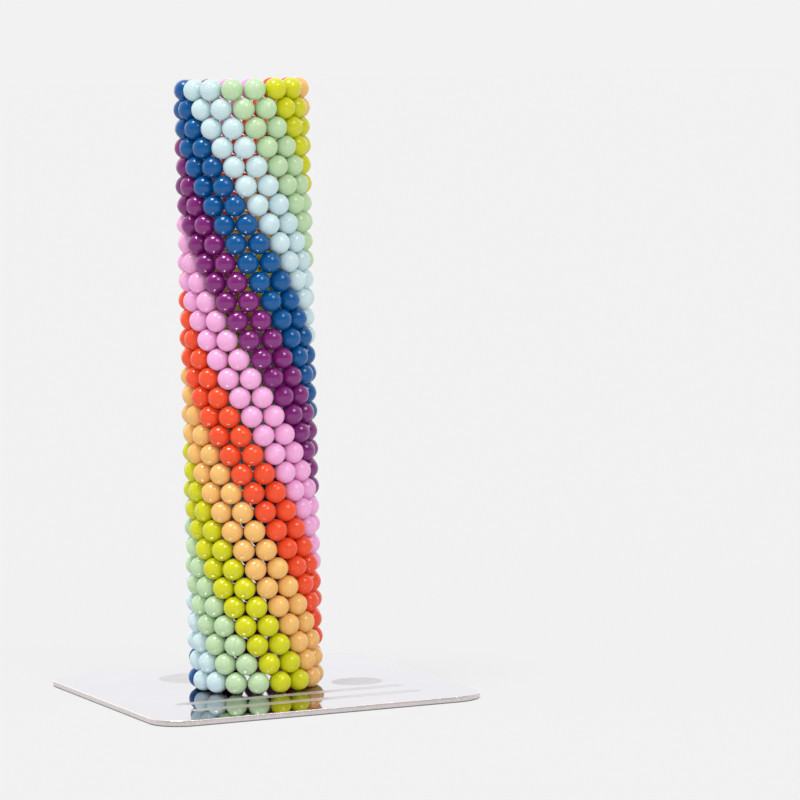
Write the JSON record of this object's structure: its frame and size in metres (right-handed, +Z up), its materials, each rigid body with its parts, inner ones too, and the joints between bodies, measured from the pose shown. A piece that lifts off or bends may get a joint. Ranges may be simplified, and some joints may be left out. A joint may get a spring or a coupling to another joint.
{
  "type": "magnetic desk sculpture",
  "caption": "Hollow round tower of small coloured magnet balls stacked in nested rings, with spiral colour bands, standing on a thin polished square steel plate.",
  "frame": {"origin": "centre of the base plate's underside", "axes": "+Z up, parallel to the tower's axis, which stands 0.8 mm to the left of the origin; -Y towards the plate's front edge, +X to the right seen from the front"},
  "size_m": [0.0396, 0.0396, 0.0702],
  "materials": {
    "polished_steel": "mirror polished top, plain cut edge",
    "dark_blue_coat": "gloss",
    "light_blue_coat": "gloss",
    "mint_coat": "gloss",
    "lime_coat": "gloss",
    "peach_coat": "gloss",
    "red_coat": "gloss",
    "pink_coat": "gloss",
    "purple_coat": "gloss"
  },
  "bodies": {
    "base_plate": {"base_plate": "polished_steel"},
    "foot": {"dark_blue_balls_foot": "dark_blue_coat", "light_blue_balls_foot": "light_blue_coat", "mint_balls_foot": "mint_coat", "lime_balls_foot": "lime_coat", "peach_balls_foot": "peach_coat", "red_balls_foot": "red_coat", "pink_balls_foot": "pink_coat", "purple_balls_foot": "purple_coat"},
    "section_1": {"dark_blue_balls_section_1": "dark_blue_coat", "light_blue_balls_section_1": "light_blue_coat", "mint_balls_section_1": "mint_coat", "lime_balls_section_1": "lime_coat", "peach_balls_section_1": "peach_coat", "red_balls_section_1": "red_coat", "pink_balls_section_1": "pink_coat", "purple_balls_section_1": "purple_coat"},
    "section_2": {"dark_blue_balls_section_2": "dark_blue_coat", "light_blue_balls_section_2": "light_blue_coat", "mint_balls_section_2": "mint_coat", "lime_balls_section_2": "lime_coat", "peach_balls_section_2": "peach_coat", "red_balls_section_2": "red_coat", "pink_balls_section_2": "pink_coat", "purple_balls_section_2": "purple_coat"},
    "section_3": {"dark_blue_balls_section_3": "dark_blue_coat", "light_blue_balls_section_3": "light_blue_coat", "mint_balls_section_3": "mint_coat", "lime_balls_section_3": "lime_coat", "peach_balls_section_3": "peach_coat", "red_balls_section_3": "red_coat", "pink_balls_section_3": "pink_coat", "purple_balls_section_3": "purple_coat"},
    "section_4": {"dark_blue_balls_section_4": "dark_blue_coat", "light_blue_balls_section_4": "light_blue_coat", "mint_balls_section_4": "mint_coat", "lime_balls_section_4": "lime_coat", "peach_balls_section_4": "peach_coat", "red_balls_section_4": "red_coat", "pink_balls_section_4": "pink_coat", "purple_balls_section_4": "purple_coat"},
    "section_5": {"dark_blue_balls_section_5": "dark_blue_coat", "light_blue_balls_section_5": "light_blue_coat", "mint_balls_section_5": "mint_coat", "lime_balls_section_5": "lime_coat", "peach_balls_section_5": "peach_coat", "red_balls_section_5": "red_coat", "pink_balls_section_5": "pink_coat", "purple_balls_section_5": "purple_coat"},
    "section_6": {"dark_blue_balls_section_6": "dark_blue_coat", "light_blue_balls_section_6": "light_blue_coat", "mint_balls_section_6": "mint_coat", "lime_balls_section_6": "lime_coat", "peach_balls_section_6": "peach_coat", "red_balls_section_6": "red_coat", "pink_balls_section_6": "pink_coat", "purple_balls_section_6": "purple_coat"}
  },
  "joints": [
    {"name": "tower_turn", "type": "hinge", "parent": "base_plate", "child": "foot", "pos_m": [-0.0008, 0, 0.0007], "axis": [0, 0, 1], "continuous": true},
    {"name": "section_1_pull_off", "type": "slide", "parent": "foot", "child": "section_1", "axis": [0, 0, 1], "range_m": [0, 0.01]},
    {"name": "section_2_pull_off", "type": "slide", "parent": "section_1", "child": "section_2", "axis": [0, 0, 1], "range_m": [0, 0.01]},
    {"name": "section_3_pull_off", "type": "slide", "parent": "section_2", "child": "section_3", "axis": [0, 0, 1], "range_m": [0, 0.01]},
    {"name": "section_4_pull_off", "type": "slide", "parent": "section_3", "child": "section_4", "axis": [0, 0, 1], "range_m": [0, 0.01]},
    {"name": "section_5_pull_off", "type": "slide", "parent": "section_4", "child": "section_5", "axis": [0, 0, 1], "range_m": [0, 0.01]},
    {"name": "section_6_pull_off", "type": "slide", "parent": "section_5", "child": "section_6", "axis": [0, 0, 1], "range_m": [0, 0.01]}
  ]
}
